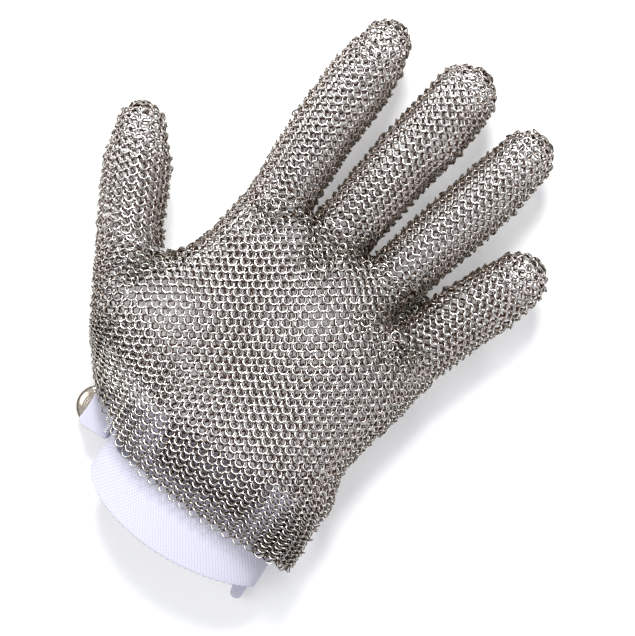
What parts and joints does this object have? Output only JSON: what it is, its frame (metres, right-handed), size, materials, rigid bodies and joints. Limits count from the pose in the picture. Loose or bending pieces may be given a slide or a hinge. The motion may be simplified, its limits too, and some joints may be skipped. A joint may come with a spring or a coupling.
{
  "type": "chain mail glove",
  "caption": "Five-finger stainless ring-mesh glove for cutting work, with fingers that bend and a white webbing wrist strap closed by a snap fastener.",
  "frame": {"origin": "centre of the bounding box, on the plane that the back of the hand lies on", "axes": "+Z out of the palm, +Y from the wrist to the fingertips, +X towards the little finger"},
  "size_m": [0.158, 0.2028, 0.0338],
  "materials": {
    "ring_mesh": "welded wire rings, bright on their crowns and darker in the gaps",
    "webbing": "fine twill webbing, matt",
    "snap_steel": "polished",
    "thread": "dense stitching"
  },
  "bodies": {
    "hand": {"palm_front_mesh": "ring_mesh", "palm_back_mesh": "ring_mesh", "knuckle_front_mesh": "ring_mesh", "knuckle_back_mesh": "ring_mesh", "wrist_band": "webbing", "closing_strap": "webbing", "closing_strap_end": "webbing", "strap_end_bar_tack": "thread", "snap_cap": "snap_steel", "snap_socket": "snap_steel"},
    "index_base": {"index_base_gusset": "ring_mesh", "index_base_mesh": "ring_mesh"},
    "index_end": {"index_knuckle_gusset": "ring_mesh", "index_tip_mesh": "ring_mesh"},
    "middle_base": {"middle_base_gusset": "ring_mesh", "middle_base_mesh": "ring_mesh"},
    "middle_end": {"middle_knuckle_gusset": "ring_mesh", "middle_tip_mesh": "ring_mesh"},
    "ring_base": {"ring_base_gusset": "ring_mesh", "ring_base_mesh": "ring_mesh"},
    "ring_end": {"ring_knuckle_gusset": "ring_mesh", "ring_tip_mesh": "ring_mesh"},
    "little_base": {"little_base_gusset": "ring_mesh", "little_base_mesh": "ring_mesh"},
    "little_end": {"little_knuckle_gusset": "ring_mesh", "little_tip_mesh": "ring_mesh"},
    "thumb_base": {"thumb_base_gusset": "ring_mesh", "thumb_base_mesh": "ring_mesh"},
    "thumb_end": {"thumb_knuckle_gusset": "ring_mesh", "thumb_tip_mesh": "ring_mesh"},
    "stud_tab": {"stud_tab_inner_layer": "webbing", "stud_tab_outer_layer": "webbing", "stud_tab_bar_tack": "thread", "snap_stud": "snap_steel", "snap_eyelet": "snap_steel"}
  },
  "joints": [
    {"name": "index_base_bend", "type": "hinge", "parent": "hand", "child": "index_base", "pos_m": [-0.01536, 0.0303, 0.0166], "axis": [0.9999, 0.0145, 0], "range_deg": [0, 60], "deforming": ["index_base_gusset"]},
    {"name": "index_knuckle_bend", "type": "hinge", "parent": "index_base", "child": "index_end", "pos_m": [-0.01511, 0.06094, 0.0166], "axis": [0.9984, -0.0562, 0], "range_deg": [0, 72], "deforming": ["index_knuckle_gusset"]},
    {"name": "middle_base_bend", "type": "hinge", "parent": "hand", "child": "middle_base", "pos_m": [0.0102, 0.03115, 0.0166], "axis": [0.9942, -0.1071, 0], "range_deg": [0, 60], "deforming": ["middle_base_gusset"]},
    {"name": "middle_knuckle_bend", "type": "hinge", "parent": "middle_base", "child": "middle_end", "pos_m": [0.01457, 0.06269, 0.0166], "axis": [0.9824, -0.1869, 0], "range_deg": [0, 72], "deforming": ["middle_knuckle_gusset"]},
    {"name": "ring_base_bend", "type": "hinge", "parent": "hand", "child": "ring_base", "pos_m": [0.03391, 0.02611, 0.0166], "axis": [0.9735, -0.2287, 0], "range_deg": [0, 60], "deforming": ["ring_base_gusset"]},
    {"name": "ring_knuckle_bend", "type": "hinge", "parent": "ring_base", "child": "ring_end", "pos_m": [0.04159, 0.05604, 0.0166], "axis": [0.967, -0.2547, 0], "range_deg": [0, 72], "deforming": ["ring_knuckle_gusset"]},
    {"name": "little_base_bend", "type": "hinge", "parent": "hand", "child": "little_base", "pos_m": [0.05544, 0.01515, 0.0166], "axis": [0.9283, -0.3718, 0], "range_deg": [0, 60], "deforming": ["little_base_gusset"]},
    {"name": "little_knuckle_bend", "type": "hinge", "parent": "little_base", "child": "little_end", "pos_m": [0.06422, 0.03356, 0.0166], "axis": [0.8918, -0.4525, 0], "range_deg": [0, 68], "deforming": ["little_knuckle_gusset"]},
    {"name": "thumb_base_bend", "type": "hinge", "parent": "hand", "child": "thumb_base", "pos_m": [-0.05417, -0.01001, 0.01754], "axis": [0.6122, 0.354, -0.7071], "range_deg": [0, 45], "deforming": ["thumb_base_gusset"]},
    {"name": "thumb_knuckle_bend", "type": "hinge", "parent": "thumb_base", "child": "thumb_end", "pos_m": [-0.06361, 0.00941, 0.0196], "axis": [0.6217, 0.3369, -0.7071], "range_deg": [0, 65], "deforming": ["thumb_knuckle_gusset"]},
    {"name": "stud_tab_lift", "type": "hinge", "parent": "hand", "child": "stud_tab", "pos_m": [-0.02136, -0.07105, 0.0117], "axis": [0, 1, 0], "range_deg": [0, 22]}
  ]
}
